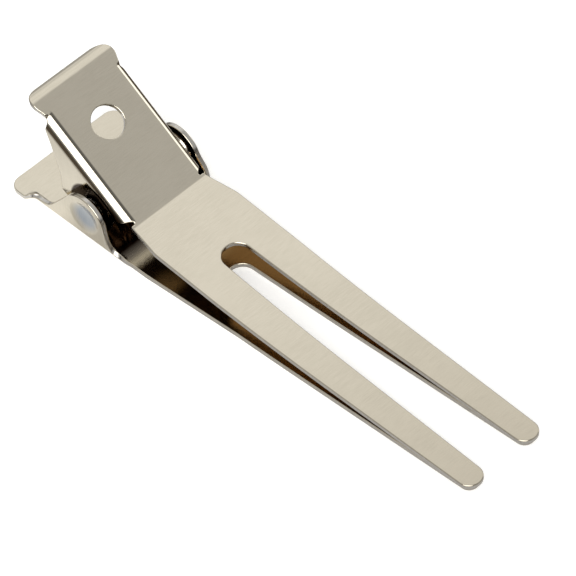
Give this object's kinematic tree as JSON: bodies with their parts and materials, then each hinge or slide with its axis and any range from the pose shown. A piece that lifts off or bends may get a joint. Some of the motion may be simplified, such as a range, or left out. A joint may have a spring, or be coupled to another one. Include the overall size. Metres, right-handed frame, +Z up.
{
  "type": "hair clip",
  "caption": "Pronged spring hair clip of folded sheet steel: a pierced thumb tab, slotted jaws that close flat together, and a coil spring at the pivot.",
  "frame": {"origin": "on the underside of the lower jaw, at the middle of the overall length, on the plane of symmetry", "axes": "+X from the tail to the prong tips, +Z up from the lower jaw to the thumb tab, +Y across the clip"},
  "size_m": [0.0452, 0.0104, 0.0093],
  "materials": {
    "upper_jaw": "satin nickel plate",
    "lower_jaw": "satin nickel plate",
    "spring": "drawn spring wire"
  },
  "bodies": {
    "lower": {"lower_jaw": "lower_jaw", "torsion_spring": "spring"},
    "upper": {"upper_jaw": "upper_jaw"}
  },
  "joints": [
    {"name": "jaw_pivot", "type": "hinge", "parent": "lower", "child": "upper", "pos_m": [-0.0148, 0, 0.00215], "axis": [0, -1, 0], "range_deg": [0, 27], "stiffness_Nm_per_rad": 0.04, "springref_deg": -51.57, "deforming": ["torsion_spring"]}
  ]
}
